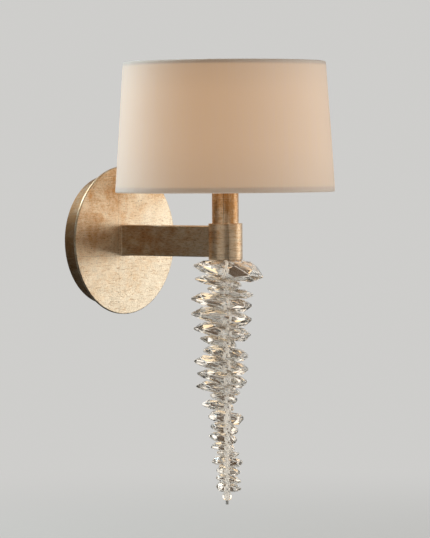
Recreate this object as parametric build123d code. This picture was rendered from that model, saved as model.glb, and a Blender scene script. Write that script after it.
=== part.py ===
from build123d import *
import math
import os
import random

# Crystal wall sconce: a round leafed backplate, a flat bar arm, a short post with a tapered
# drum shade, and a string of cut crystals hanging below the arm's end.
# Millimetres, +Z up. The origin is the middle of the backplate on the wall. The wall is the
# plane Y = 0 and the lamp stands out from it towards -Y.

# ------------------------------------------------------------------ driving sizes
# Backplate
plate_radius = 78.75
plate_thickness = 2.5
plate_edge_round = 0.7
pan_radius = 69.0
pan_wall = 1.2
pan_depth = 21.9

# Mounting crossbar inside the pan
crossbar_width = 19.0
crossbar_thickness = 2.0
crossbar_ear_length = 14.0
crossbar_pan_gap = 0.4
crossbar_centre_hole_radius = 5.25
box_screw_spacing = 79.4
box_slot_length = 14.2
box_slot_width = 4.6
ground_screw_height = -20.0
ground_screw_radius = 1.95
ground_head_radius = 4.0
ground_head_height = 2.4
side_screw_from_wall = 8.0
side_screw_radius = 1.95
side_screw_head_radius = 4.0
side_screw_head_height = 3.2
side_screw_length = 9.0
screw_hole_clearance = 0.06
screw_pass_clearance = 0.25
driver_slot_width = 1.0
driver_slot_depth = 1.0
cutter_overrun = 1.0

# Arm
arm_reach = 163.5
arm_height = 32.6
arm_width = 12.7
arm_wall = 1.2
arm_corner_round = 1.5
arm_inner_round = 0.4
end_plug_length = 8.0
end_plug_clearance = 0.02

# Threaded tube through the backplate
nipple_radius = 4.0
nipple_bore_radius = 2.8
nipple_thread_clearance = 0.05
nipple_hole_clearance = 0.15
nipple_in_plug = 7.0
nipple_behind_nut = 3.4
nipple_nut_flats = 13.0
nipple_nut_thickness = 4.0
lock_washer_radius = 7.2
lock_washer_thickness = 1.0
bushing_radius = 5.2
bushing_flange = 1.3
bushing_sleeve = 5.0
bushing_bore_radius = 2.1

# Collar and post
collar_radius = 17.65
collar_height = 37.7
collar_floor = 8.0
collar_rim_round = 0.5
post_radius = 13.87
post_wall = 1.2
post_seat_depth = 12.0
post_seat_clearance = 0.04
post_top_height = 62.0
wire_window_radius = 4.0
collar_cavity_radius = 11.5
nipple_in_floor = 4.0
post_cap_flange = 1.5
post_cap_spigot = 4.0
post_cap_clearance = 0.05

# Lamp socket
socket_cap_radius = 12.0
socket_cap_height = 10.0
socket_body_radius = 17.0
socket_body_height = 11.0
socket_flange_radius = 20.6
socket_flange_height = 2.5
socket_thread_radius = 18.6
socket_thread_height = 25.0
socket_thread_pitch = 3.0
socket_thread_depth = 0.7
socket_floor = 13.5
screw_shell_radius = 13.75
screw_shell_wall = 0.4
screw_shell_height = 22.0
screw_shell_clearance = 0.05
screw_shell_recess = 1.0
screw_shell_lip = 2.0
contact_width = 6.0
contact_thickness = 0.5
contact_length = 12.0
contact_rise = 2.4

# Bulb
bulb_tip_gap = 0.3
bulb_length = 84.0
bulb_cap_radius = 13.0
bulb_cap_height = 20.0
bulb_cap_thread_depth = 0.8
bulb_cap_ridges = 5
bulb_cap_wall = 0.5
bulb_cap_plain = 3.0
bulb_glass_radius = 24.0
bulb_neck_radius = 12.2
bulb_neck_height = 6.0
bulb_neck_taper = 0.6
bulb_neck_in_cap = 2.5
bulb_glass_fit = 0.05
bulb_glass_wall = 0.9
bulb_insulator_height = 3.6
bulb_insulator_radius = 9.0
bulb_contact_radius = 4.5
bulb_contact_taper = 1.0
bulb_contact_height = 1.2
filament_height = 60.0
filament_span = 15.0
filament_radius = 0.6
filament_past_support = 0.5
stem_radius = 3.4
stem_height = 34.0
support_radius = 0.45
support_root_depth = 3.0
support_glass_cover = 0.4

# Shade ring nut
ring_nut_radius = 24.5
ring_nut_height = 7.0
ring_nut_clearance = 0.08
ring_nut_notches = 12
ring_nut_notch_radius = 1.6
running_gap = 0.3

# Shade
shade_bottom_height = 51.0
shade_height = 135.4
shade_bottom_radius = 114.3
shade_top_radius = 105.1
fabric_thickness = 0.5
lining_thickness = 0.35
lining_glue_gap = 0.1
shade_wire_radius = 1.4
shade_wire_clearance = 0.05
bottom_hem = 6.0
top_hem = 4.0
hem_to_lining = 1.0
fitter_clearance = 0.4
fitter_ring_radius = 26.0
fitter_ring_thickness = 1.5
fitter_arm_radius = 1.6
fitter_arm_count = 3
fitter_notch_clearance = 0.3
fitter_weld_overlap = 2.0

# Crystal drop
drop_turn = -49.8
rod_radius = 1.2
rod_hole_clearance = 0.08
rod_thread_in_collar = 3.6
crystal_hole_radius = 1.5
crystal_corners = 8
crystal_girdle = 1.9
crystal_least_share = 0.15
corner_turn_spread = 0.09
corner_reach_spread = 0.05
end_ball_radius = 5.0
tip_nut_radius = 1.55
tip_nut_height = 3.7
tip_nut_floor = 0.8
tip_nut_round = 0.4

# The rings of corners on a crystal, from its flat table out to its rim: the share of the
# rim's reach, and the share of the way from the table's plane to the rim's edge.
crystal_rings = [(0.46, 0.0), (0.70, 0.13), (0.88, 0.47), (1.0, 1.0)]

# One row for each crystal from the top down: thickness at the rod, how far the left tip
# reaches and how far it lies below the crystal's top at the rod, the same for the right tip,
# and how much the flat underside falls to the right for each millimetre.
crystal_sizes = [
    (19.1, 33.5, 5.6, 38.9, 17.7, 0.20),
    (9.1, 32.2, 0.4, 16.4, 7.7, 0.12),
    (9.1, 19.3, 1.3, 28.6, 8.3, 0.20),
    (14.5, 36.3, 2.8, 27.1, 10.0, 0.19),
    (15.3, 36.4, 4.0, 26.8, 10.1, 0.18),
    (14.8, 33.9, 4.2, 25.8, 10.6, 0.22),
    (8.5, 27.3, -0.8, 10.6, 7.7, 0.14),
    (12.5, 24.1, 3.7, 22.9, 9.6, 0.24),
    (14.3, 33.7, 2.1, 22.9, 10.7, 0.23),
    (13.3, 30.5, 0.5, 21.5, 9.3, 0.28),
    (9.5, 31.8, 0.6, 14.1, 8.1, 0.17),
    (8.3, 17.5, 0.3, 11.2, 5.3, 0.24),
    (9.1, 25.7, 1.7, 7.5, 6.1, 0.14),
    (12.7, 19.2, 5.7, 17.9, 7.1, 0.20),
    (10.4, 17.0, 2.7, 12.1, 6.9, 0.22),
    (10.2, 18.8, 2.5, 10.5, 6.2, 0.20),
    (7.7, 16.7, 4.0, 8.0, 5.6, 0.12),
    (6.2, 10.9, 1.6, 13.1, 3.2, 0.15),
    (9.8, 15.9, 5.3, 16.7, 5.5, 0.18),
    (9.4, 11.0, 4.5, 13.6, 6.6, 0.18),
    (8.0, 11.6, 2.4, 14.8, 6.6, 0.16),
    (9.1, 11.6, 2.9, 14.8, 6.5, 0.00),
]

# ------------------------------------------------------------------ derived places
face_from_wall = pan_depth + plate_thickness
collar_top = collar_height / 2
collar_bottom = -collar_height / 2
floor_top = collar_bottom + collar_floor
post_seat_height = collar_top - post_seat_depth
nipple_hole_radius = nipple_radius + nipple_hole_clearance
nipple_thread_radius = nipple_radius + nipple_thread_clearance
pan_floor_back = pan_depth - pan_wall

post_cap_top = post_top_height + post_cap_flange
socket_body_bottom = post_cap_top + socket_cap_height
socket_flange_bottom = socket_body_bottom + socket_body_height
fitter_seat = socket_flange_bottom + socket_flange_height
socket_top = fitter_seat + socket_thread_height
socket_cavity_floor = socket_body_bottom + socket_floor
screw_shell_bottom = socket_top - screw_shell_recess - screw_shell_height
bulb_tip = socket_cavity_floor + contact_thickness + contact_rise + bulb_tip_gap
bulb_cap_bottom = bulb_tip + bulb_contact_height + bulb_insulator_height
bulb_cap_top = bulb_cap_bottom + bulb_cap_height
bulb_top = bulb_tip + bulb_length

shade_top_height = shade_bottom_height + shade_height
shade_slope = (shade_bottom_radius - shade_top_radius) / shade_height
fitter_hole_radius = socket_thread_radius + fitter_clearance
ring_nut_bottom = fitter_seat + fitter_ring_thickness + running_gap
wire_channel = 2 * (shade_wire_radius + shade_wire_clearance)

drop_top = collar_bottom - running_gap
drop_bottom = drop_top - sum(size[0] for size in crystal_sizes)
ball_hole_rise = math.sqrt(end_ball_radius**2 - crystal_hole_radius**2)
ball_centre = drop_bottom - ball_hole_rise
ball_foot = ball_centre - ball_hole_rise
tip_nut_top = ball_foot - running_gap
tip_nut_bottom = tip_nut_top - tip_nut_height

# ------------------------------------------------------------------ helpers
# Wall-side pieces are drawn looking at the wall: sketch X is X, sketch Y is Z, and the
# extrusion runs out from the wall.
FROM_WALL = Rot(90, 0, 0)
POST_AXIS = Pos(0, -arm_reach, 0)
STAND = (Align.CENTER, Align.CENTER, Align.MIN)


def tube(outer, inner, bottom, height):
    """A round tube, or a disc with a hole, standing on the level called bottom."""
    ring = Cylinder(outer, height, align=STAND) - Cylinder(inner, height, align=STAND)
    return Pos(0, 0, bottom) * ring


def rod(radius, bottom, height):
    """A solid round bar standing on the level called bottom."""
    return Pos(0, 0, bottom) * Cylinder(radius, height, align=STAND)


def turned_face(face):
    """A solid of revolution about Z from a face drawn as X = radius, Y = height."""
    return revolve(Plane.XZ * face, Axis.Z, 360)


def turned(points):
    """A solid of revolution about Z from (radius, height) points."""
    return turned_face(make_face(Polyline(*points, close=True)))


def slotted(head, top, radius):
    """Cut a screwdriver slot across the top of a screw head that points along +Z."""
    slot = Box(2 * (radius + cutter_overrun), driver_slot_width, driver_slot_depth,
               align=(Align.CENTER, Align.CENTER, Align.MAX))
    return head - Pos(0, 0, top) * slot


parts = {}

# ------------------------------------------------------------------ backplate and its fixings
side_hole_radius = side_screw_radius + screw_pass_clearance


def make_front_plate():
    """The round leafed plate that carries the arm."""
    plate = tube(plate_radius, nipple_hole_radius, pan_depth, plate_thickness)
    front_edge = plate.edges().filter_by(GeomType.CIRCLE).sort_by(Axis.Z)[-2:]
    outer_edge = front_edge.sort_by(lambda edge: edge.radius)[-1]
    return FROM_WALL * fillet(outer_edge, min(plate_edge_round, plate_thickness / 3))


def make_back_pan():
    """The drum behind the plate: a side wall and a front floor, open to the wall."""
    pan = rod(pan_radius, 0, pan_depth) - rod(pan_radius - pan_wall, 0, pan_floor_back)
    pan -= rod(nipple_hole_radius, 0, pan_depth)
    side_hole = Cylinder(side_hole_radius, 2 * (pan_radius + cutter_overrun),
                         rotation=(90, 0, 0))
    return FROM_WALL * (pan - Pos(0, 0, side_screw_from_wall) * side_hole)


def make_crossbar():
    """The strap on the wall box, with an ear at each end for the side screws."""
    pan_inside = pan_radius - pan_wall
    half_width = crossbar_width / 2
    ear_face = math.sqrt((pan_inside - crossbar_pan_gap)**2 - half_width**2)
    strap = Box(crossbar_width, 2 * ear_face, crossbar_thickness, align=STAND)
    for side in (1, -1):
        ear = Box(crossbar_width, crossbar_thickness, crossbar_ear_length, align=STAND)
        strap += Pos(0, side * (ear_face - crossbar_thickness / 2), 0) * ear
        slot = SlotOverall(box_slot_length, box_slot_width, rotation=90)
        slot_cut = extrude(slot, crossbar_thickness)
        strap -= Pos(0, side * box_screw_spacing / 2, 0) * slot_cut
    strap -= rod(crossbar_centre_hole_radius, 0, crossbar_thickness)
    ground_hole = rod(ground_screw_radius + screw_hole_clearance, 0, crossbar_thickness)
    strap -= Pos(0, ground_screw_height, 0) * ground_hole
    side_hole = Cylinder(side_screw_radius + screw_hole_clearance, 2 * pan_radius,
                         rotation=(90, 0, 0))
    strap -= Pos(0, 0, side_screw_from_wall) * side_hole
    return FROM_WALL * strap


def make_ground_screw():
    """The screw on the crossbar that takes the earth wire."""
    head_top = crossbar_thickness + ground_head_height
    screw = rod(ground_screw_radius, 0, head_top)
    screw += rod(ground_head_radius, crossbar_thickness, ground_head_height)
    screw = slotted(screw, head_top, ground_head_radius)
    return FROM_WALL * Pos(0, ground_screw_height, 0) * screw


def make_pan_screws():
    """Two screws through the pan's wall into the crossbar's ears, above and below."""
    head_top = pan_radius + side_screw_head_height
    screw = rod(side_screw_radius, pan_radius - side_screw_length, side_screw_length)
    screw += rod(side_screw_head_radius, pan_radius, side_screw_head_height)
    screw = slotted(screw, head_top, side_screw_head_radius)
    upper = Pos(0, -side_screw_from_wall, 0) * screw
    lower = Pos(0, -side_screw_from_wall, 0) * Rot(180, 0, 0) * screw
    return Compound(children=[upper, lower])


parts["front_plate"] = make_front_plate()
parts["back_pan"] = make_back_pan()
parts["crossbar"] = make_crossbar()
parts["ground_screw"] = make_ground_screw()
parts["pan_screws"] = make_pan_screws()

# ------------------------------------------------------------------ arm and its fixing
washer_back = pan_floor_back - lock_washer_thickness
nut_back = washer_back - nipple_nut_thickness
nipple_back = nut_back - nipple_behind_nut
nipple_front = face_from_wall + nipple_in_plug
bushing_back = nipple_back - bushing_flange


def make_arm_bar():
    """The rectangular tube between the plate and the collar, shaped to fit the collar."""
    length = arm_reach - face_from_wall
    outer = RectangleRounded(arm_width, arm_height, arm_corner_round)
    inner = RectangleRounded(arm_width - 2 * arm_wall, arm_height - 2 * arm_wall,
                             arm_inner_round)
    bar = FROM_WALL * Pos(0, 0, face_from_wall) * extrude(outer - inner, length)
    return bar - POST_AXIS * Cylinder(collar_radius, 2 * arm_height)


def make_arm_end_plug():
    """The block inside the arm's wall end, with the thread for the nipple."""
    wide = arm_width - 2 * (arm_wall + end_plug_clearance)
    tall = arm_height - 2 * (arm_wall + end_plug_clearance)
    block = extrude(RectangleRounded(wide, tall, arm_inner_round), end_plug_length)
    block -= Cylinder(nipple_thread_radius, end_plug_length, align=STAND)
    return FROM_WALL * Pos(0, 0, face_from_wall) * block


def make_arm_locknut():
    """The hexagon nut that draws the arm, plate and pan together."""
    hexagon = RegularPolygon(nipple_nut_flats / 2, 6, major_radius=False)
    nut = extrude(hexagon, nipple_nut_thickness)
    nut -= Cylinder(nipple_thread_radius, nipple_nut_thickness, align=STAND)
    return FROM_WALL * Pos(0, 0, nut_back) * nut


def make_nipple_bushing():
    """The plastic bush that keeps the wires off the nipple's edge."""
    bush = rod(bushing_radius, bushing_back, bushing_flange)
    bush += rod(nipple_bore_radius - nipple_thread_clearance, nipple_back, bushing_sleeve)
    bush -= rod(bushing_bore_radius, bushing_back, bushing_flange + bushing_sleeve)
    return FROM_WALL * bush


parts["arm_bar"] = make_arm_bar()
parts["arm_end_plug"] = make_arm_end_plug()
parts["arm_nipple"] = FROM_WALL * tube(nipple_radius, nipple_bore_radius, nipple_back,
                                       nipple_front - nipple_back)
parts["lock_washer"] = FROM_WALL * tube(lock_washer_radius, nipple_hole_radius, washer_back,
                                        lock_washer_thickness)
parts["arm_locknut"] = make_arm_locknut()
parts["nipple_bushing"] = make_nipple_bushing()

# ------------------------------------------------------------------ collar and post


def make_collar():
    """The turned collar at the arm's end: the post stands in it and the drop hangs from it."""
    outline = [
        (rod_radius + rod_hole_clearance, collar_bottom),
        (collar_radius, collar_bottom),
        (collar_radius, collar_top),
        (post_radius + post_seat_clearance, collar_top),
        (post_radius + post_seat_clearance, post_seat_height),
        (collar_cavity_radius, post_seat_height),
        (collar_cavity_radius, floor_top),
        (nipple_thread_radius, floor_top),
        (nipple_thread_radius, floor_top - nipple_in_floor),
        (rod_radius + rod_hole_clearance, floor_top - nipple_in_floor),
    ]
    body = turned(outline)
    rims = body.edges().filter_by(GeomType.CIRCLE).filter_by(
        lambda edge: abs(edge.radius - collar_radius) < 0.01)
    body = fillet(rims, collar_rim_round)
    window = Cylinder(wire_window_radius, collar_radius + cutter_overrun,
                      rotation=(-90, 0, 0), align=STAND)
    return POST_AXIS * (body - window)


def make_post_cap():
    """The cap on the post's open top that centres the nipple and carries the socket."""
    spigot_radius = post_radius - post_wall - post_cap_clearance
    cap = rod(post_radius, post_top_height, post_cap_flange)
    cap += rod(spigot_radius, post_top_height - post_cap_spigot, post_cap_spigot)
    hole = rod(nipple_thread_radius, post_top_height - post_cap_spigot,
               post_cap_spigot + post_cap_flange)
    return POST_AXIS * (cap - hole)


nipple_foot = floor_top - nipple_in_floor
post_nipple_height = socket_body_bottom - nipple_foot

parts["collar"] = make_collar()
parts["post"] = POST_AXIS * tube(post_radius, post_radius - post_wall, post_seat_height,
                                 post_top_height - post_seat_height)
parts["post_nipple"] = POST_AXIS * tube(nipple_radius, nipple_bore_radius, nipple_foot,
                                        post_nipple_height)
parts["post_cap"] = make_post_cap()

# ------------------------------------------------------------------ lamp socket


def make_socket_body():
    """The moulded socket: a round body, the shade's seat and a threaded upper part."""
    crest = socket_thread_radius
    root = socket_thread_radius - socket_thread_depth
    cavity = screw_shell_radius + screw_shell_clearance
    outline = [
        (nipple_bore_radius, socket_body_bottom),
        (socket_body_radius, socket_body_bottom),
        (socket_body_radius, socket_flange_bottom),
        (socket_flange_radius, socket_flange_bottom),
        (socket_flange_radius, fitter_seat),
        (crest, fitter_seat),
    ]
    grooves = int(socket_thread_height / socket_thread_pitch)
    for turn in range(grooves):
        start = fitter_seat + fitter_ring_thickness + turn * socket_thread_pitch
        if start + socket_thread_pitch < socket_top:
            outline += [(crest, start), (root, start + socket_thread_pitch / 3),
                        (crest, start + 2 * socket_thread_pitch / 3)]
    outline += [
        (crest, socket_top),
        (cavity, socket_top),
        (cavity, socket_cavity_floor),
        (nipple_bore_radius, socket_cavity_floor),
    ]
    return POST_AXIS * turned(outline)


def make_screw_shell():
    """The thin threaded brass shell that the bulb's cap screws into."""
    bottom_ring = screw_shell_radius - screw_shell_lip
    inside = screw_shell_radius - screw_shell_wall
    shell_top = screw_shell_bottom + screw_shell_height
    outline = [
        (bottom_ring, screw_shell_bottom),
        (screw_shell_radius, screw_shell_bottom),
        (screw_shell_radius, shell_top),
        (inside, shell_top),
        (inside, screw_shell_bottom + screw_shell_wall),
        (bottom_ring, screw_shell_bottom + screw_shell_wall),
    ]
    return POST_AXIS * turned(outline)


def make_centre_contact():
    """The brass leaf on the socket's floor that presses on the bulb's tip."""
    foot = contact_length / 4
    pad = contact_length / 3
    rise_run = contact_length - foot - pad
    start = pad / 2 - contact_length
    thick = contact_thickness
    points = [
        (start, 0),
        (start + foot, 0),
        (start + foot + rise_run, contact_rise),
        (start + contact_length, contact_rise),
        (start + contact_length, contact_rise + thick),
        (start + foot + rise_run, contact_rise + thick),
        (start + foot, thick),
        (start, thick),
    ]
    leaf = extrude(Plane.XZ * make_face(Polyline(*points, close=True)), contact_width / 2,
                   both=True)
    return POST_AXIS * Pos(0, 0, socket_cavity_floor) * leaf


parts["socket_cap"] = POST_AXIS * tube(socket_cap_radius, nipple_thread_radius, post_cap_top,
                                       socket_cap_height)
parts["socket_body"] = make_socket_body()
parts["screw_shell"] = make_screw_shell()
parts["centre_contact"] = make_centre_contact()

# ------------------------------------------------------------------ bulb
glass_seat_radius = bulb_neck_radius - bulb_neck_taper
insulator_top = bulb_cap_bottom + bulb_cap_wall


def make_bulb_cap():
    """The bulb's threaded metal cap."""
    crest = bulb_cap_radius
    root = bulb_cap_radius - bulb_cap_thread_depth
    inner = root - bulb_cap_wall
    plain = bulb_cap_plain
    pitch = (bulb_cap_height - 2 * plain) / bulb_cap_ridges
    outline = [(bulb_insulator_radius, bulb_cap_bottom), (root, bulb_cap_bottom + plain / 2)]
    for ridge in range(bulb_cap_ridges):
        low = bulb_cap_bottom + plain + ridge * pitch
        outline += [(root, low), (crest, low + pitch / 2)]
    outline += [
        (root, bulb_cap_top - plain),
        (crest, bulb_cap_top - 2 * plain / 3),
        (crest, bulb_cap_top),
        (bulb_neck_radius + bulb_glass_fit, bulb_cap_top),
        (inner, bulb_cap_top - plain),
        (inner, bulb_cap_bottom + plain / 2 + bulb_cap_wall),
        (bulb_insulator_radius - bulb_cap_wall, bulb_cap_bottom + bulb_cap_wall),
        (bulb_insulator_radius - bulb_cap_wall, bulb_cap_bottom),
    ]
    return POST_AXIS * turned(outline)


def make_bulb_glass():
    """The thin pear-shaped glass, open only where it sits in the cap."""
    centre = bulb_top - bulb_glass_radius
    seat = bulb_cap_top - bulb_neck_in_cap

    def skin(inset):
        radius = bulb_glass_radius - inset
        neck = bulb_neck_radius - inset
        side = (radius, centre)
        join = (neck, bulb_cap_top + bulb_neck_height)
        dome = CenterArc((0, centre), radius, 0, 90)
        flank = Spline(join, side, tangents=((0, 1), (0, 1)))
        return flank, dome

    flank_out, dome_out = skin(0)
    flank_in, dome_in = skin(bulb_glass_wall)
    outer_foot = Line((glass_seat_radius, seat), (bulb_neck_radius, bulb_cap_top))
    outer_neck = Line((bulb_neck_radius, bulb_cap_top), flank_out @ 0)
    crown = Line(dome_out @ 1, dome_in @ 1)
    inner_neck = Line(flank_in @ 0, (bulb_neck_radius - bulb_glass_wall, bulb_cap_top))
    inner_foot = Line(inner_neck @ 1, (glass_seat_radius - bulb_glass_wall, seat))
    lip = Line(inner_foot @ 1, outer_foot @ 0)
    edges = [outer_foot, outer_neck, flank_out, dome_out, crown, dome_in, flank_in,
             inner_neck, inner_foot, lip]
    return POST_AXIS * turned_face(make_face(edges))


def make_bulb_insulator():
    """The dark glass button under the cap, with the tip contact in it."""
    outline = [
        (0, bulb_tip),
        (bulb_contact_radius - bulb_contact_taper, bulb_tip),
        (bulb_contact_radius, bulb_tip + bulb_contact_height),
        (bulb_insulator_radius - bulb_cap_wall, bulb_cap_bottom),
        (bulb_insulator_radius - bulb_cap_wall, insulator_top),
        (0, insulator_top),
    ]
    return POST_AXIS * turned(outline)


def make_filament_stem():
    """The glass stem, its two wires and the filament across their ends."""
    stem = rod(stem_radius, insulator_top, stem_height)
    stem_top = insulator_top + stem_height
    filament_z = bulb_tip + filament_height
    half = filament_span / 2
    for side in (1, -1):
        root = side * (stem_radius - support_radius - support_glass_cover)
        low = (root, 0, stem_top - support_root_depth)
        high = (side * half, 0, filament_z)
        wire_line = Line(low, high)
        wire = sweep(Plane(wire_line @ 0, z_dir=wire_line % 0) * Circle(support_radius),
                     wire_line)
        stem += wire
    coil = Cylinder(filament_radius, filament_span + 2 * filament_past_support,
                    rotation=(0, 90, 0))
    stem += Pos(0, 0, filament_z) * coil
    return POST_AXIS * stem


parts["bulb_cap"] = make_bulb_cap()
parts["bulb_glass"] = make_bulb_glass()
parts["bulb_insulator"] = make_bulb_insulator()
parts["filament_stem"] = make_filament_stem()

# ------------------------------------------------------------------ shade ring nut


def make_shade_ring_nut():
    """The notched ring that screws down on the shade's fitter."""
    nut = tube(ring_nut_radius, socket_thread_radius + ring_nut_clearance, ring_nut_bottom,
               ring_nut_height)
    notch = rod(ring_nut_notch_radius, ring_nut_bottom, ring_nut_height)
    nut -= PolarLocations(ring_nut_radius, ring_nut_notches) * notch
    return POST_AXIS * nut


parts["shade_ring_nut"] = make_shade_ring_nut()

# ------------------------------------------------------------------ shade


def shade_radius(height, inset):
    """The shade's radius at a height, set in from its outer face by inset."""
    return shade_bottom_radius - shade_slope * (height - shade_bottom_height) - inset


def band(low, high, outer_inset, inner_inset):
    """Corner points of a thin sloping band of the shade between two heights."""
    return [
        (shade_radius(low, inner_inset), low),
        (shade_radius(low, outer_inset), low),
        (shade_radius(high, outer_inset), high),
        (shade_radius(high, inner_inset), high),
    ]


turn_in = fabric_thickness + wire_channel
wire_inset = fabric_thickness + wire_channel / 2
bottom_ring_height = shade_bottom_height + wire_inset
top_ring_height = shade_top_height - wire_inset


def ring_wire(height):
    """One of the two wire rings that hold the shade round."""
    return Pos(0, 0, height) * Torus(shade_radius(height, wire_inset), shade_wire_radius)


def fitter_arms(radius):
    """Round bars from the fitter's ring down to the middle of the bottom ring wire."""
    arms = []
    inner_end = fitter_ring_radius - fitter_weld_overlap
    arm_start = (inner_end, 0, fitter_seat + fitter_ring_thickness / 2)
    arm_end = (shade_radius(bottom_ring_height, wire_inset), 0, bottom_ring_height)
    line = Line(arm_start, arm_end)
    bar = sweep(Plane(line @ 0, z_dir=line % 0) * Circle(radius), line)
    for turn in range(fitter_arm_count):
        arms.append(Rot(0, 0, 90 + turn * 360 / fitter_arm_count) * bar)
    return arms


def make_shade_fabric():
    """The tapered fabric skin, turned in over a wire ring at each end."""
    low, high = shade_bottom_height, shade_top_height
    hem_inset = turn_in + fabric_thickness
    skin = turned(band(low, high, 0, fabric_thickness))
    skin += turned(band(low, low + fabric_thickness, 0, hem_inset))
    skin += turned(band(low, low + bottom_hem, turn_in, hem_inset))
    skin += turned(band(high - fabric_thickness, high, 0, hem_inset))
    skin += turned(band(high - top_hem, high, turn_in, hem_inset))
    for notch in fitter_arms(fitter_arm_radius + fitter_notch_clearance):
        skin -= notch
    return POST_AXIS * skin


def make_shade_fitter():
    """The fitter: a ring that sits on the socket, and the arms out to the bottom wire."""
    fitter = tube(fitter_ring_radius, fitter_hole_radius, fitter_seat, fitter_ring_thickness)
    for arm in fitter_arms(fitter_arm_radius):
        fitter += arm
    return POST_AXIS * (fitter - ring_wire(bottom_ring_height))


parts["shade_fabric"] = make_shade_fabric()
lining_inset = fabric_thickness + lining_glue_gap
parts["shade_lining"] = POST_AXIS * turned(
    band(shade_bottom_height + bottom_hem + hem_to_lining,
         shade_top_height - top_hem - hem_to_lining,
         lining_inset, lining_inset + lining_thickness))
parts["shade_top_ring"] = POST_AXIS * ring_wire(top_ring_height)
parts["shade_bottom_ring"] = POST_AXIS * ring_wire(bottom_ring_height)
parts["shade_fitter"] = make_shade_fitter()

# ------------------------------------------------------------------ crystal drop
DROP_AXIS = POST_AXIS * Rot(0, 0, drop_turn)


def make_crystal(number, top, top_slope):
    """One cut crystal: flat where it meets its neighbours, lens-shaped out to its rim."""
    thickness, left, left_drop, right, right_drop, foot_slope = crystal_sizes[number - 1]
    chance = random.Random(number)
    mean_reach = (left + right) / 2
    near, far = (mean_reach * chance.uniform(0.74, 1.0) for side in range(2))
    mean_drop = (left_drop + right_drop) / 2
    tilt = (right_drop - left_drop) / 2
    sway = thickness * chance.uniform(-0.12, 0.12)
    half_step = math.pi / crystal_corners

    def reach_at(angle):
        along = math.cos(angle) / (right if math.cos(angle) > 0 else left)
        across = math.sin(angle) / (far if math.sin(angle) > 0 else near)
        return 1 / math.hypot(along, across)

    def upper_plane(x):
        return top - top_slope * x

    def lower_plane(x):
        return top - thickness - foot_slope * x

    def rim_height(angle, x):
        high, low = upper_plane(x), lower_plane(x)
        margin = crystal_least_share * (high - low)
        drop = mean_drop + tilt * math.cos(angle) + sway * math.sin(angle)
        return min(max(top - drop, low + margin), high - margin)

    points = []
    for ring, (reach_share, drop_share) in enumerate(crystal_rings):
        for corner in range(crystal_corners):
            angle = (2 * corner + (ring + 1) % 2) * half_step
            scale = 1.0
            is_tip = reach_share == 1 and corner % (crystal_corners // 2) == 0
            if not is_tip:
                angle += chance.uniform(-corner_turn_spread, corner_turn_spread)
                scale += chance.uniform(-corner_reach_spread, corner_reach_spread)
            rim_reach = reach_at(angle) * scale
            rim_x = rim_reach * math.cos(angle)
            rim = rim_height(angle, rim_x)
            fall = upper_plane(rim_x) - rim
            rise = rim - lower_plane(rim_x)
            half_girdle = min(crystal_girdle / 2, fall / 2, rise / 2)
            x, y = rim_x * reach_share, rim_reach * math.sin(angle) * reach_share
            points.append((x, y, upper_plane(x) - (fall - half_girdle) * drop_share))
            points.append((x, y, lower_plane(x) + (rise - half_girdle) * drop_share))
    hole = rod(crystal_hole_radius, top - thickness - cutter_overrun,
               thickness + 2 * cutter_overrun)
    return ConvexPolyhedron(points) - hole


def make_end_ball():
    """The small round bead at the foot of the string."""
    ball = Pos(0, 0, ball_centre) * Sphere(end_ball_radius)
    return ball - rod(crystal_hole_radius, ball_centre - end_ball_radius, 2 * end_ball_radius)


def make_tip_nut():
    """The small blind nut on the rod's end that keeps the string together."""
    bore_depth = tip_nut_height - tip_nut_floor
    nut = rod(tip_nut_radius, tip_nut_bottom, tip_nut_height)
    nut = fillet(nut.edges().sort_by(Axis.Z)[0], min(tip_nut_round, tip_nut_floor / 2))
    return nut - rod(rod_radius + rod_hole_clearance, tip_nut_top - bore_depth, bore_depth)


crystal_top, crystal_slope = drop_top, 0.0
for number, size in enumerate(crystal_sizes, start=1):
    crystal = make_crystal(number, crystal_top, crystal_slope)
    parts[f"crystal_{number:02d}"] = DROP_AXIS * crystal
    crystal_top -= size[0]
    crystal_slope = size[-1]

rod_top = collar_bottom + rod_thread_in_collar
rod_foot = tip_nut_bottom + tip_nut_floor + running_gap
parts["hanging_rod"] = DROP_AXIS * rod(rod_radius, rod_foot, rod_top - rod_foot)
parts["end_ball"] = DROP_AXIS * make_end_ball()
parts["tip_nut"] = DROP_AXIS * make_tip_nut()

# ------------------------------------------------------------------ output
os.makedirs("parts", exist_ok=True)
for name, shape in parts.items():
    shape.label = name
    export_step(shape, f"parts/{name}.step")
print(f"{len(parts)} nodes, lowest point {tip_nut_bottom:.1f}, bulb top {bulb_top:.1f}, "
      f"shade top {shade_top_height:.1f}")
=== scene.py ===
import math

import bmesh
import bpy
from mathutils import Matrix, Vector


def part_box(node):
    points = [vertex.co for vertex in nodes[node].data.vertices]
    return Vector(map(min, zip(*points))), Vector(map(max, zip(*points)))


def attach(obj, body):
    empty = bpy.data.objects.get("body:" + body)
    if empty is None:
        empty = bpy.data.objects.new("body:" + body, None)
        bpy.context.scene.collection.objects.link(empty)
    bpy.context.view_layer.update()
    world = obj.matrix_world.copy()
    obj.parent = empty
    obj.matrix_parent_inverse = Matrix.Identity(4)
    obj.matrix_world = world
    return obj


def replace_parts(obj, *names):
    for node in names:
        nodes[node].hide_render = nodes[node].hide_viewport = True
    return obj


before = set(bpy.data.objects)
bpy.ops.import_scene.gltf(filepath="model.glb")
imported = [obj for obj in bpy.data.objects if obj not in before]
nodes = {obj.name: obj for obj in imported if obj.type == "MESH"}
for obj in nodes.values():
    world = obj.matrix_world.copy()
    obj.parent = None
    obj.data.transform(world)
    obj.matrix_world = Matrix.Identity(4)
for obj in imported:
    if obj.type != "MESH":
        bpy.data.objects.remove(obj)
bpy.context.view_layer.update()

# ------------------------------------------------------------------ places taken from the frame
# Metres, +Z up, wall plane y = 0, lamp towards -Y.
post_axis = Vector((0.0, -0.1635, 0.0))
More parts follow.
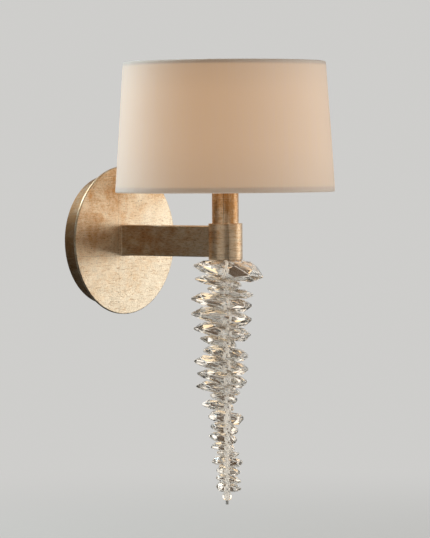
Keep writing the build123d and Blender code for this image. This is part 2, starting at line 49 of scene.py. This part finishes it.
collar_low, collar_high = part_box("collar")
shade_low, shade_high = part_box("shade_fabric")
plate_low, plate_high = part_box("front_plate")
arm_low, arm_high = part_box("arm_bar")

# ------------------------------------------------------------------ camera
image_long_side = 538
focal_pixels = 3225.6
sensor = 36.0
view_azimuth = math.radians(-49.793)
view_elevation = math.radians(1.447)
view_roll = math.radians(-0.376)
view_distance = 3.347
aim_right = -0.01092
aim_up = -0.02851
clip_range = (0.05, 60.0)


def make_camera():
    """The photograph's camera: aimed past the post, and turned a little about its own axis."""
    back = Vector((math.sin(view_azimuth) * math.cos(view_elevation),
                   -math.cos(view_azimuth) * math.cos(view_elevation),
                   math.sin(view_elevation)))
    right = (-back).cross(Vector((0, 0, 1))).normalized()
    up = right.cross(-back)
    rolled_right = right * math.cos(view_roll) + up * math.sin(view_roll)
    rolled_up = up * math.cos(view_roll) - right * math.sin(view_roll)
    place = post_axis + back * view_distance
    aim = post_axis + rolled_right * aim_right + rolled_up * aim_up
    forward = (aim - place).normalized()
    side = forward.cross(rolled_up).normalized()
    head = side.cross(forward)
    data = bpy.data.cameras.new("camera")
    data.sensor_width = sensor
    data.lens = focal_pixels * sensor / image_long_side
    data.clip_start, data.clip_end = clip_range
    camera = bpy.data.objects.new("camera", data)
    bpy.context.scene.collection.objects.link(camera)
    camera.matrix_world = Matrix((
        (side.x, head.x, -forward.x, place.x),
        (side.y, head.y, -forward.y, place.y),
        (side.z, head.z, -forward.z, place.z),
        (0, 0, 0, 1)))
    bpy.context.scene.camera = camera


make_camera()


# ------------------------------------------------------------------ node helpers
class Shader:
    """A short way to write a material's nodes."""

    def __init__(self, name, kind="material"):
        if kind == "material":
            self.owner = bpy.data.materials.new(name)
        else:
            self.owner = bpy.data.worlds.new(name)
        self.owner.use_nodes = True
        self.tree = self.owner.node_tree
        self.tree.nodes.clear()

    def node(self, kind, *values, **settings):
        """A new node, its first sockets in order and its properties or sockets by name."""
        made = self.tree.nodes.new(kind)
        for key, value in settings.items():
            if hasattr(made, key):
                setattr(made, key, value)
            else:
                self.put(made.inputs[key.replace("_", " ")], value)
        for socket, value in zip(made.inputs, values):
            if value is not None:
                self.put(socket, value)
        return made

    def put(self, socket, value):
        """Link a socket or a node's first output, or set a constant."""
        if isinstance(value, bpy.types.NodeSocket):
            self.tree.links.new(value, socket)
        elif isinstance(value, bpy.types.Node):
            self.tree.links.new(value.outputs[0], socket)
        else:
            socket.default_value = value

    def math(self, operation, *values):
        return self.node("ShaderNodeMath", *values, operation=operation).outputs[0]

    def vector(self, operation, *values):
        return self.node("ShaderNodeVectorMath", *values, operation=operation)

    def where(self):
        return self.node("ShaderNodeTexCoord").outputs["Object"]

    def length(self, socket):
        return self.vector("LENGTH", socket).outputs["Value"]

    def axes(self, socket):
        return self.node("ShaderNodeSeparateXYZ", socket).outputs

    def stretched(self, stretch, socket=None):
        socket = self.where() if socket is None else socket
        return self.vector("MULTIPLY", socket, stretch).outputs[0]

    def noise(self, place, scale, detail=4.0, roughness=0.6, distortion=0.0):
        made = self.node("ShaderNodeTexNoise")
        for key, value in (("Vector", place), ("Scale", scale), ("Detail", detail),
                           ("Roughness", roughness), ("Distortion", distortion)):
            self.put(made.inputs[key], value)
        return made.outputs["Fac"]

    def ramp(self, factor, *stops):
        """A colour ramp through (position, colour or grey level) stops."""
        made = self.node("ShaderNodeValToRGB", factor)
        elements = made.color_ramp.elements
        while len(elements) < len(stops):
            elements.new(0.5)
        for element, (position, colour) in zip(elements, stops):
            element.position = position
            grey = isinstance(colour, (int, float))
            element.color = (colour, colour, colour, 1) if grey else (*colour, 1)
        return made.outputs["Color"]

    def mix(self, factor, first, second):
        made = self.tree.nodes.new("ShaderNodeMix")
        made.data_type = "RGBA"
        self.put(made.inputs[0], factor)
        for socket, value in ((made.inputs[6], first), (made.inputs[7], second)):
            self.put(socket, (*value, 1) if isinstance(value, tuple) else value)
        return made.outputs[2]

    def bump(self, height, distance, strength, normal=None):
        made = self.tree.nodes.new("ShaderNodeBump")
        self.put(made.inputs["Height"], height)
        made.inputs["Distance"].default_value = distance
        made.inputs["Strength"].default_value = strength
        if normal is not None:
            self.put(made.inputs["Normal"], normal)
        return made.outputs["Normal"]

    def surface(self, **values):
        """A principled surface, its sockets named with underscores for spaces."""
        made = self.tree.nodes.new("ShaderNodeBsdfPrincipled")
        for key, value in values.items():
            socket = made.inputs[key.replace("_", " ")]
            if isinstance(value, tuple) and len(value) == 3:
                value = (*value, 1)
            self.put(socket, value)
        self.finish(made.outputs["BSDF"])
        return self.owner

    def background_ray(self):
        """1 where the camera, a reflection or the glass sees the backdrop, and 0 for its light."""
        path = self.node("ShaderNodeLightPath").outputs
        mirrored = self.math("MAXIMUM", path["Is Glossy Ray"], path["Is Transmission Ray"])
        return self.math("MAXIMUM", path["Is Camera Ray"], mirrored)

    def blend(self, factor, first, second):
        """Finish with a mix of two shaders."""
        made = self.tree.nodes.new("ShaderNodeMixShader")
        for socket, value in zip(made.inputs, (factor, first, second)):
            self.put(socket, value)
        self.finish(made.outputs[0])

    def finish(self, socket):
        world = isinstance(self.owner, bpy.types.World)
        output = self.tree.nodes.new("ShaderNodeOutputWorld" if world
                                     else "ShaderNodeOutputMaterial")
        self.tree.links.new(socket, output.inputs["Surface"])


# ------------------------------------------------------------------ materials
cream = (0.80, 0.62, 0.42)
tan = (0.53, 0.265, 0.092)
umber = (0.070, 0.032, 0.012)
pale_leaf = (0.90, 0.78, 0.60)
leaf_spacing = 0.042
seam_width = 0.00032
seam_offsets = (0.0090, 0.0138)
speck_scale = 240.0
speck_reach = 0.15
speck_share = 0.08
# Widths of the rim's darkening, rubbing and painted shade, and of the corners' lightening, rubbing
# and painted highlight.
rim_wear_and_shade_width = 0.0015
corner_wear_and_highlight_width = 0.0010
shade_mean_radius = 0.11
warp_pitch = 0.00060
weft_pitch = 0.00055


def leaf_specks(s, where):
    """1 on the small dark specks, which sit in a few of the cells."""
    cells = s.node("ShaderNodeTexVoronoi", feature="F1", Vector=where, Scale=speck_scale)
    near = s.math("LESS_THAN", cells.outputs["Distance"], speck_reach)
    chosen = s.math("LESS_THAN", s.axes(cells.outputs["Color"])[0], speck_share)
    return s.math("MULTIPLY", near, chosen)


def leaf_seams(s, where, x, z):
    """1 on the wandering lines where one square of leaf meets the next."""
    wander = s.math("MULTIPLY", s.noise(where, 22.0, 3.0), 0.005)
    lines = []
    for along, offset in zip((x, z), seam_offsets):
        shifted = s.math("ADD", s.math("ADD", along, offset), wander)
        lines.append(s.math("LESS_THAN", s.math("PINGPONG", shifted, leaf_spacing), seam_width))
    return s.math("MAXIMUM", *lines)


def rim_wear_and_shade(s, where, edge, mottle):
    """How far a round plate's rim is darkened beyond the radius edge: rubbing and painted shade.
    """
    rim = s.math("SUBTRACT", s.length(s.stretched((1, 0, 1), where)), edge)
    return s.ramp(s.math("ADD", s.math("MULTIPLY", rim, 400.0), s.math("MULTIPLY", mottle, 0.9)),
                  (0.55, 0.0), (1.05, 0.45))


def corner_wear_and_highlight(s, x, z, halves, fine):
    """How far a bar's four long corners are lightened, given its half width and half height:
    rubbing and a painted highlight.
    """
    beside, above = (s.math("SUBTRACT", s.math("ABSOLUTE", along), half - corner_wear_and_highlight_width)
                     for along, half in zip((x, z), halves))
    corner = s.math("MULTIPLY", s.math("MINIMUM", beside, above), 900.0)
    return s.ramp(s.math("ADD", corner, s.math("MULTIPLY", fine, 0.8)), (0.30, 0.0), (0.75, 0.75))


def leaf(name, grain=(1, 1, 1), warm=0.5, painted_shade=0.0, dull=0.0, edge=None, corners=None):
    """Champagne leaf over brown: cream and tan patches, a linen grain, specks, seams and rubbing.

    It is painted paler low down and towards +X, a painted light and shade. grain stretches the
    fine marks, warm turns more of it tan, depth darkens it all over as painted shade and dull
    takes its gloss away. edge is the radius beyond which a round plate is darkened to the brown,
    partly rubbing and partly painted shade, and corners are a bar's half width and half height,
    whose four long corners are lightened, partly rubbing and partly a painted highlight.
    """
    s = Shader(name)
    where = s.where()
    x, y, z = s.axes(where)
    grained = s.stretched(grain, where)
    patches = s.noise(where, 24.0, 7.0, 0.68, 0.35)
    mottle = s.noise(grained, 120.0, 7.0, 0.78)
    fine = s.noise(grained, 650.0, 4.0, 0.8)
    linen = s.noise(s.stretched((1, 1, 8), where), 140.0, 5.0, 0.75)
    pale = s.math("ADD", s.math("MULTIPLY", patches, 0.52), s.math("MULTIPLY", mottle, 0.30))
    pale = s.math("ADD", pale, s.math("MULTIPLY", linen, 0.18))
    # Painted light and shade: paler towards +X and low down, darker high up.
    pale = s.math("ADD", pale, s.math("SUBTRACT", s.math("MULTIPLY", x, 0.50), z))
    middle = 0.40 + 0.14 * warm
    colour = s.ramp(pale, (middle - 0.10, tan), (middle + 0.01, cream), (middle + 0.12, pale_leaf))
    colour = s.mix(s.ramp(linen, (0.36, 0.55), (0.47, 0.0)), colour, tan)
    colour = s.mix(s.ramp(fine, (0.30, 0.50), (0.50, 0.0)), colour, umber)
    crossed = s.noise(s.stretched((9, 1, 1), where), 110.0, 5.0, 0.8)
    scratch = s.math("MINIMUM", linen, crossed)
    colour = s.mix(s.ramp(scratch, (0.31, 0.45), (0.41, 0.0)), colour, umber)
    glint = s.math("MAXIMUM", linen, crossed)
    colour = s.mix(s.ramp(glint, (0.63, 0.0), (0.72, 0.40)), colour, pale_leaf)
    colour = s.mix(s.math("MULTIPLY", leaf_specks(s, where), 0.65), colour, umber)
    colour = s.mix(s.math("MULTIPLY", leaf_seams(s, where, x, z), 0.30), colour, umber)
    # Painted shade and rubbing at the plate's rim: darker to the brown beyond the edge radius.
    if edge is not None:
        colour = s.mix(rim_wear_and_shade(s, where, edge, mottle), colour, umber)
    # Painted shade: the whole leaf darkened towards the brown.
    if painted_shade > 0:
        colour = s.mix(painted_shade, colour, umber)
    # Painted highlight and rubbing along the bar's long corners: lighter towards the pale leaf.
    if corners is not None:
        colour = s.mix(corner_wear_and_highlight(s, x, z, corners, fine), colour, pale_leaf)
    rough = s.ramp(mottle, (0.3, 0.32 + dull), (0.7, 0.50 + dull))
    height = s.math("ADD", s.math("MULTIPLY", fine, 0.5), s.math("MULTIPLY", mottle, 0.6))
    height = s.math("ADD", height, s.math("MULTIPLY", linen, 0.8))
    normal = s.bump(height, 0.00025, 0.55, s.bump(patches, 0.0012, 0.3))
    return s.surface(Base_Color=colour, Metallic=0.74, Roughness=rough, Specular_IOR_Level=0.25,
                     Normal=normal)


def painted_lamp_glow(s, z):
    """How strongly the cloth is painted to glow with the lamp's light: evenly, and little through
    the hems.
    """
    tall = shade_high.z - shade_low.z
    rise = s.node("ShaderNodeMapRange", z, From_Min=shade_low.z, From_Max=shade_high.z)
    return s.axes(s.ramp(
        rise, (0.0, 0.17), (0.0048 / tall, 0.20), (0.0068 / tall, 0.34),
        (0.35, 0.40), (0.75, 0.41), (1 - 0.0050 / tall, 0.35), (1 - 0.0034 / tall, 0.17),
        (1.0, 0.17)))[0]


def fabric():
    """Off-white hardback cloth with a fine weave, and the lamp's light through it painted on as a
    glow.
    """
    s = Shader("shade_cloth")
    where = s.vector("SUBTRACT", s.where(), tuple(post_axis)).outputs[0]
    x, y, z = s.axes(where)
    around = s.math("MULTIPLY", s.math("ARCTAN2", y, x), shade_mean_radius)
    flat = s.node("ShaderNodeCombineXYZ", around, z, 0.0).outputs[0]
    warp = s.noise(s.stretched((900, 14, 1), flat), 1.0, 4.0, 0.7)
    weft = s.noise(s.stretched((18, 1300, 1), flat), 1.0, 3.0)
    thread = s.math("ADD", s.math("MULTIPLY", warp, 0.7), s.math("MULTIPLY", weft, 0.3))
    weave = s.math("ADD",
                   s.math("SINE", s.math("MULTIPLY", around, 2 * math.pi / warp_pitch)),
                   s.math("SINE", s.math("MULTIPLY", z, 2 * math.pi / weft_pitch)))
    slubs = s.noise(s.stretched((110, 3, 1), flat), 1.0, 4.0, 0.75)
    colour = s.ramp(thread, (0.30, (0.80, 0.785, 0.74)), (0.70, (0.86, 0.845, 0.80)))
    colour = s.mix(s.ramp(slubs, (0.40, 0.10), (0.60, 0.0)), colour, (0.70, 0.66, 0.58))
    height = s.math("ADD", s.math("MULTIPLY", weave, 0.25), thread)
    # The lamp's light through the cloth is a painted glow.
    glow = s.mix(thread, (1.0, 0.53, 0.235), (1.0, 0.59, 0.285))
    return s.surface(Base_Color=colour, Roughness=0.9, Specular_IOR_Level=0.3,
                     Sheen_Weight=0.35, Sheen_Roughness=0.45,
                     Emission_Color=glow, Emission_Strength=painted_lamp_glow(s, z),
                     Normal=s.bump(height, 0.00006, 0.6))


def crystal_glass():
    """Clear champagne glass, polished, with the faintest waviness."""
    s = Shader("cut_crystal")
    ripple = s.noise(s.where(), 120.0, 3.0)
    return s.surface(Base_Color=(0.985, 0.95, 0.89), Roughness=0.015, IOR=1.56,
                     Transmission_Weight=0.95, Normal=s.bump(ripple, 0.0004, 0.02))


def edge_with_painted_glow():
    """The narrow softened edges between the facets, with a faint painted glow where they catch the
    light.
    """
    s = Shader("edge_with_painted_glow")
    ripple = s.noise(s.where(), 900.0, 3.0)
    colour = s.mix(ripple, (0.93, 0.90, 0.84), (0.97, 0.95, 0.91))
    return s.surface(Base_Color=colour, Roughness=0.3, IOR=1.56, Transmission_Weight=0.45,
                     Emission_Color=(1.0, 0.96, 0.88), Emission_Strength=0.12,
                     Normal=s.bump(ripple, 0.0001, 0.3))


def worked_metal(name, colour, roughness, metallic=1.0):
    """Plain plated or drawn metal with fine handling marks."""
    s = Shader(name)
    marks = s.noise(s.stretched((400, 400, 400)), 1.0, 5.0, 0.7)
    dull = tuple(0.72 * channel for channel in colour)
    shade = s.mix(s.ramp(marks, (0.35, 0.0), (0.65, 1.0)), dull, colour)
    rough = s.ramp(marks, (0.3, roughness * 0.8), (0.7, min(1.0, roughness * 1.35)))
    return s.surface(Base_Color=shade, Metallic=metallic, Roughness=rough,
                     Normal=s.bump(marks, 0.00005, 0.4))


def moulded(name, colour, roughness):
    """Moulded plastic or thick paint, a little cloudy and pitted."""
    s = Shader(name)
    pits = s.noise(s.where(), 1500.0, 3.0)
    cloud = s.noise(s.where(), 90.0, 4.0)
    shade = s.mix(cloud, tuple(0.8 * c for c in colour), tuple(min(1, 1.15 * c) for c in colour))
    return s.surface(Base_Color=shade, Roughness=s.ramp(cloud, (0.3, roughness * 0.8),
                                                        (0.7, roughness * 1.2)),
                     Normal=s.bump(pits, 0.00004, 0.3))


def bulb_frost():
    """The bulb's frosted glass, lit from inside."""
    s = Shader("bulb_frost")
    where = s.where()
    mottled = s.noise(where, 70.0, 4.0)
    glow = s.mix(mottled, (1.0, 0.66, 0.36), (1.0, 0.74, 0.46))
    return s.surface(Base_Color=(0.93, 0.91, 0.87), Roughness=0.35, IOR=1.45,
                     Emission_Color=glow, Emission_Strength=0.9,
                     Normal=s.bump(s.noise(where, 1200.0, 2.0), 0.00003, 0.3))


def wear(node, material):
    """Give a CAD node one material all over."""
    data = nodes[node].data
    data.materials.clear()
    data.materials.append(material)


zinc = worked_metal("zinc_plate", (0.62, 0.62, 0.60), 0.32)
brass = worked_metal("drawn_brass", (0.72, 0.50, 0.20), 0.28)
nickel = worked_metal("satin_nickel", (0.93, 0.90, 0.85), 0.32, metallic=0.6)
aluminium = worked_metal("bulb_cap_metal", (0.78, 0.78, 0.77), 0.25)
phenolic = moulded("black_phenolic", (0.020, 0.018, 0.017), 0.35)
nylon = moulded("white_nylon", (0.80, 0.79, 0.74), 0.5)
wire_paint = moulded("white_wire_paint", (0.78, 0.77, 0.73), 0.4)
earth_green = worked_metal("earth_green", (0.06, 0.30, 0.11), 0.35, 0.5)
crystal = crystal_glass()

wear("front_plate", leaf("leaf_plate", warm=0.34, edge=plate_high.x - rim_wear_and_shade_width))
# The pan, arm and collar are darkened all over with painted shade.
wear("back_pan", leaf("leaf_pan", warm=0.9, painted_shade=0.66, dull=0.15))
wear("arm_bar", leaf("leaf_arm", grain=(1, 0.3, 1), warm=0.72, painted_shade=0.36,
                     corners=(arm_high.x, arm_high.z)))
wear("collar", leaf("leaf_collar", grain=(0.15, 0.15, 2.5), warm=0.80, painted_shade=0.08, dull=-0.10))
wear("post", leaf("leaf_post", grain=(1, 1, 0.15), warm=0.85, dull=-0.10))
wear("pan_screws", leaf("leaf_screws"))
for node, material in (
        ("crossbar", zinc), ("ground_screw", earth_green), ("arm_end_plug", zinc),
        ("arm_nipple", zinc), ("lock_washer", zinc), ("arm_locknut", zinc),
        ("nipple_bushing", nylon), ("post_nipple", zinc), ("post_cap", zinc),
        ("socket_cap", brass), ("socket_body", phenolic), ("screw_shell", brass),
        ("centre_contact", brass), ("bulb_cap", aluminium), ("bulb_glass", bulb_frost()),
        ("bulb_insulator", phenolic), ("filament_stem", zinc), ("shade_ring_nut", phenolic),
        ("shade_top_ring", wire_paint), ("shade_bottom_ring", wire_paint),
        ("shade_fitter", wire_paint), ("hanging_rod", nickel), ("tip_nut", nickel)):
    wear(node, material)


# ------------------------------------------------------------------ shade cloth
def add_piece(name, mesh, body):
    piece = bpy.data.objects.new(name, mesh)
    bpy.context.scene.collection.objects.link(piece)
    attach(piece, body)
    return piece


wire_radius = 0.0014
wire_gap = 0.0003
cloth_inset = 0.00025
cloth_over_ring = 0.0006
fold_lift = 0.0001
fold_steps = 8
wall_rows = 26
hem_low_height = 0.006
hem_high_height = 0.004
hem_shares = (0.2, 0.6, 1.0)
seam_turn = math.radians(90)
seam_lead = math.radians(14)
seam_overlap = math.radians(6)
seam_step = 0.0005
cloth_columns = 240
fitter_arm_count = 3
arm_half_turn = 0.022


def make_shade_cloth():
    """One cloth, turned in over the wire at both ends and glued over itself at the back.

    Its lower hem is notched where the fitter's arms come through.
    """
    low, high = shade_low.z, shade_high.z
    low_radius = (shade_high.x - shade_low.x) / 2
    ring_low, ring_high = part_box("shade_top_ring")
    high_radius = (ring_high.x - ring_low.x) / 2 + cloth_over_ring
    slope = (low_radius - high_radius) / (high - low)

    def wall(z, inset):
        return low_radius - slope * (z - low) - inset

    fold = wire_radius + wire_gap
    inner = 2 * fold + cloth_inset

    def turned_end(end, inward, hem_height):
        """The hem and the fold over one wire, from the hem's edge to the wall."""
        turned = []
        for share in reversed(hem_shares):
            z = end + inward * (fold + share * (hem_height - fold))
            turned.append((wall(z, inner), z))
        for step in range(1, fold_steps):
            angle = math.pi * step / fold_steps
            z = end + inward * (fold - fold * math.sin(angle) + fold_lift)
            turned.append((wall(z, cloth_inset + fold) - fold * math.cos(angle), z))
        return turned

    heights = [low + fold + (high - low - 2 * fold) * row / wall_rows
               for row in range(wall_rows + 1)]
    profile = (turned_end(low, 1, hem_low_height) + [(wall(z, cloth_inset), z) for z in heights]
               + turned_end(high, -1, hem_high_height)[::-1])

    arm_turns = [seam_turn + 2 * math.pi * k / fitter_arm_count for k in range(fitter_arm_count)]
    start = seam_turn + seam_lead
    span = 2 * math.pi + seam_overlap
    points, faces = [], []
    for column in range(cloth_columns + 1):
        angle = start + span * column / cloth_columns
        over = (angle - start - 2 * math.pi) / seam_overlap
        lift = seam_step * max(0.0, min(1.0, 3 * over + 1.0))
        for radius, z in profile:
            wave = 0.00010 * math.sin(3 * angle + 40 * z) + 0.00006 * math.sin(11 * angle)
            reach = radius + wave + lift
            points.append((post_axis.x + reach * math.cos(angle),
                           post_axis.y + reach * math.sin(angle), z))
    tall = len(profile)
    notched_rows = len(hem_shares) + 2
    for column in range(cloth_columns):
        middle_angle = start + span * (column + 0.5) / cloth_columns
        near_arm = any(abs(math.remainder(middle_angle - place, 2 * math.pi)) < arm_half_turn
                       for place in arm_turns)
        for row in range(notched_rows if near_arm else 0, tall - 1):
            a = column * tall + row
            faces.append((a, a + tall, a + tall + 1, a + 1))
    mesh = bpy.data.meshes.new("shade_cloth")
    mesh.from_pydata(points, [], faces)
    mesh.shade_smooth()
    mesh.materials.append(fabric())
    cloth = add_piece("shade_cloth", mesh, "shade")
    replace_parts(cloth, "shade_fabric", "shade_lining")


make_shade_cloth()


# ------------------------------------------------------------------ braze at the arm's foot
bead_radius = 0.00045
bead_sides = 8
bead_step = 0.0008
bead_swell = 0.35
arm_corner = 0.0015
corner_steps = 4


def make_foot_bead():
    """The thin uneven bead of braze where the arm's foot meets the plate."""
    centre = (arm_low + arm_high) / 2
    half = (arm_high - arm_low) / 2
    stations = []
    for quarter, (side, rise) in enumerate(((1, 1), (-1, 1), (-1, -1), (1, -1))):
        corner_x = centre.x + side * (half.x - arm_corner)
        corner_z = centre.z + rise * (half.z - arm_corner)
        for step in range(corner_steps + 1):
            angle = math.radians(90 * (quarter + step / corner_steps))
            stations.append((corner_x, corner_z, angle))
        straight = 2 * (half.x if quarter in (0, 2) else half.z) - 2 * arm_corner
        for step in range(1, int(straight / bead_step)):
            gone = step * bead_step
            stations.append((corner_x - gone * math.sin(angle), corner_z + gone * math.cos(angle),
                             angle))
    points, faces = [], []
    for here, (x, z, angle) in enumerate(stations):
        swell = bead_swell * math.sin(2.1 * here) * math.sin(0.7 * here + 1.0)
        thick = bead_radius * (1 + swell)
        for turn in range(bead_sides):
            round_angle = 2 * math.pi * turn / bead_sides
            reach = arm_corner + thick * math.cos(round_angle)
            points.append((x + reach * math.cos(angle),
                           arm_high.y - thick * math.sin(round_angle),
                           z + reach * math.sin(angle)))
    for here in range(len(stations)):
        after = (here + 1) % len(stations)
        for turn in range(bead_sides):
            beside = (turn + 1) % bead_sides
            faces.append((here * bead_sides + turn, after * bead_sides + turn,
                          after * bead_sides + beside, here * bead_sides + beside))
    mesh = bpy.data.meshes.new("foot_bead")
    mesh.from_pydata(points, [], faces)
    mesh.shade_smooth()
    mesh.materials.append(leaf("leaf_bead", warm=0.1))
    add_piece("foot_bead", mesh, "fixture")


make_foot_bead()


# ------------------------------------------------------------------ crystals
crystal_count = 22
facet_join = math.radians(1.0)
facet_bevel = 0.0006
sharp_turn = math.radians(38)
bore_radius = 0.0015
bore_reach = 1.1 * bore_radius
weld_reach = 0.000005
sliver = 0.00001
bore_slot, edge_slot = 1, 2


def bore_with_painted_glow():
    """The ground, unpolished wall of a drilled hole, with a faint painted glow standing for the
    light it gathers.
    """
    s = Shader("bore_with_painted_glow")
    rings = s.noise(s.stretched((300, 300, 2500)), 1.0, 3.0)
    colour = s.mix(rings, (0.80, 0.79, 0.77), (0.95, 0.94, 0.92))
    return s.surface(Base_Color=colour, Roughness=0.7, Emission_Color=(1.0, 0.97, 0.92),
                     Emission_Strength=0.24, Normal=s.bump(rings, 0.00005, 0.5))


def in_bore(face):
    return all(math.hypot(vert.co.x - post_axis.x, vert.co.y - post_axis.y) < bore_reach
               for vert in face.verts)


def make_glass_piece(node, name, cut):
    """The node's glass again, its bore ground and, on a cut stone, its sharp edges softened."""
    glass = bmesh.new()
    glass.from_mesh(nodes[node].data)
    glass.transform(nodes[node].matrix_world)
    bmesh.ops.remove_doubles(glass, verts=glass.verts, dist=weld_reach)
    if cut:
        bmesh.ops.dissolve_limit(glass, angle_limit=facet_join, verts=glass.verts,
                                 edges=glass.edges)
        cut_edges = [edge for edge in glass.edges
                     if not any(in_bore(face) for face in edge.link_faces)
                     and edge.calc_face_angle(0) > sharp_turn]
        bmesh.ops.bevel(glass, geom=cut_edges, offset=facet_bevel, segments=1, profile=0.7,
                        affect="EDGES", clamp_overlap=True, material=edge_slot)
        bmesh.ops.dissolve_degenerate(glass, dist=sliver, edges=glass.edges)
    for face in glass.faces:
        if in_bore(face):
            face.material_index = bore_slot
        face.smooth = not cut
    mesh = bpy.data.meshes.new(name)
    glass.to_mesh(mesh)
    glass.free()
    for material in (crystal, bore, facet_edge):
        mesh.materials.append(material)
    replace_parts(add_piece(name, mesh, "drop"), node)


bore = bore_with_painted_glow()
facet_edge = edge_with_painted_glow()
for number in range(1, crystal_count + 1):
    make_glass_piece(f"crystal_{number:02d}", f"stone_{number:02d}", cut=True)
make_glass_piece("end_ball", "bead", cut=False)


# ------------------------------------------------------------------ studio
backdrop = (0.62, 0.615, 0.60)
room_level = 0.06
floor_height = -0.36
floor_radius = 14.0
fade_start = 0.25
fade_stop = 1.3
fade_least = 0.5
dark_floor_radius = 1.3
flag_radius = 2.3
flag_top = 1.9
card_radius = 0.45
card_split = -0.05
card_top = 0.9
dark_card_top = 0.6
card_level = 1.6
dark_card_level = 0.09
dark_card_tint = (1.0, 0.58, 0.30)


def disc(name, radius, segments):
    mesh = bpy.data.meshes.new(name)
    shape = bmesh.new()
    bmesh.ops.create_circle(shape, cap_ends=True, segments=segments, radius=radius)
    shape.to_mesh(mesh)
    shape.free()
    return mesh


def make_floor():
    """Pale paper that fades into the backdrop's colour with distance and keeps its shadow."""
    mesh = disc("floor", floor_radius, 96)
    floor = bpy.data.objects.new("floor", mesh)
    bpy.context.scene.collection.objects.link(floor)
    floor.location = (0, post_axis.y, floor_height)
    s = Shader("floor_paper")
    where = s.where()
    away = s.length(where)
    grain = s.noise(where, 40.0, 4.0)
    colour = s.mix(grain, (0.86, 0.775, 0.705), (0.90, 0.815, 0.745))
    paper = s.node("ShaderNodeBsdfDiffuse", Color=colour)
    glow = s.node("ShaderNodeEmission", Color=(*backdrop, 1))
    fade = s.node("ShaderNodeMapRange", away, interpolation_type="SMOOTHSTEP",
                  From_Min=fade_start, From_Max=fade_stop, To_Min=fade_least)
    s.blend(s.math("MULTIPLY", fade, s.background_ray()), paper, glow)
    mesh.materials.append(s.owner)


def make_world():
    """A dim even room, shown as the backdrop's colour."""
    s = Shader("studio", "world")
    room = s.node("ShaderNodeBackground", (room_level, room_level, room_level, 1))
    shown = s.node("ShaderNodeBackground", (*backdrop, 1))
    s.blend(s.background_ray(), room, shown)
    bpy.context.scene.world = s.owner


def make_lamp(name, place, aim, size, power, colour):
    """A soft rectangular lamp, its size in metres and its power in watts."""
    data = bpy.data.lights.new(name, "AREA")
    data.shape = "RECTANGLE"
    data.size, data.size_y = size
    data.energy = power
    data.color = colour
    lamp = bpy.data.objects.new(name, data)
    bpy.context.scene.collection.objects.link(lamp)
    lamp.location = place
    lamp.rotation_mode = "QUATERNION"
    lamp.rotation_quaternion = (Vector(aim) - Vector(place)).to_track_quat("-Z", "Y")


def make_flag(name, mesh, place, seen_in, level=0.0, tint=(1, 1, 1)):
    """A studio flag or card that shows only in reflections, or only through the glass."""
    flag = bpy.data.objects.new(name, mesh)
    bpy.context.scene.collection.objects.link(flag)
    flag.location = place
    s = Shader(name)
    s.surface(Base_Color=(0.01, 0.01, 0.01), Roughness=0.9, Emission_Color=tint,
              Emission_Strength=level)
    mesh.materials.append(s.owner)
    flag.visible_camera = False
    flag.visible_shadow = False
    flag.visible_diffuse = False
    flag.visible_glossy = seen_in == "glossy"
    flag.visible_transmission = seen_in == "transmission"


def make_wall(name, start, stop, radius, rise, seen_in, level=0.0, tint=(1, 1, 1)):
    """An upright sheet bent round the post, between two turns in degrees and two heights.

    A turn of 0 is straight behind the post as the photograph sees it, and it grows to the left.
    """
    steps = 24
    behind_post = math.radians(90) + view_azimuth
    points, faces = [], []
    for step in range(steps + 1):
        turn = math.radians(start + (stop - start) * step / steps) + behind_post
        for z in rise:
            points.append((radius * math.cos(turn), radius * math.sin(turn), z))
    for step in range(steps):
        a = 2 * step
        faces.append((a, a + 1, a + 3, a + 2))
    mesh = bpy.data.meshes.new(name)
    mesh.from_pydata(points, [], faces)
    make_flag(name, mesh, post_axis, seen_in, level, tint)


make_floor()
make_world()
middle = (0, post_axis.y, -0.02)
shade_middle = (0, post_axis.y, 0.12)
make_lamp("key", (1.35, -1.20, -0.10), middle, (1.1, 1.4), 7.6, (1.0, 0.97, 0.915))
make_lamp("left", (-0.32, 1.05, 1.05), middle, (0.8, 0.8), 21.0, (0.77, 0.93, 1.0))
make_lamp("right", (1.1, -1.9, 1.3), shade_middle, (0.8, 0.8), 10.0, (0.92, 0.97, 1.0))

# Dark flags give the leaf its shaded side and the dark line down the collar.
make_flag("flag_floor", disc("flag_floor", dark_floor_radius, 64),
          (post_axis.x, post_axis.y, floor_height + 0.01), "glossy")
make_wall("flag_left", 60, 118, flag_radius, (floor_height, flag_top), "glossy")
make_wall("flag_camera", 172, 208, flag_radius, (floor_height, flag_top), "glossy")

# Cards on both sides give the stones their dark, amber and white facets.
for side, name, amber, pale in ((1, "left", (1.0, 0.72, 0.42), (1.0, 0.92, 0.84)),
                                (-1, "right", (1.0, 0.78, 0.52), (1.0, 0.96, 0.90))):
    make_wall(f"dark_card_{name}", 3 * side, 26 * side, card_radius,
              (floor_height, dark_card_top), "transmission", dark_card_level, dark_card_tint)
    for shade, tint, rise in (("amber", amber, (card_split, card_top)),
                              ("pale", pale, (floor_height, card_split))):
        make_wall(f"{shade}_card_{name}", 28 * side, 130 * side, card_radius, rise,
                  "transmission", card_level, tint)

bpy.context.scene.view_settings.view_transform = "Standard"
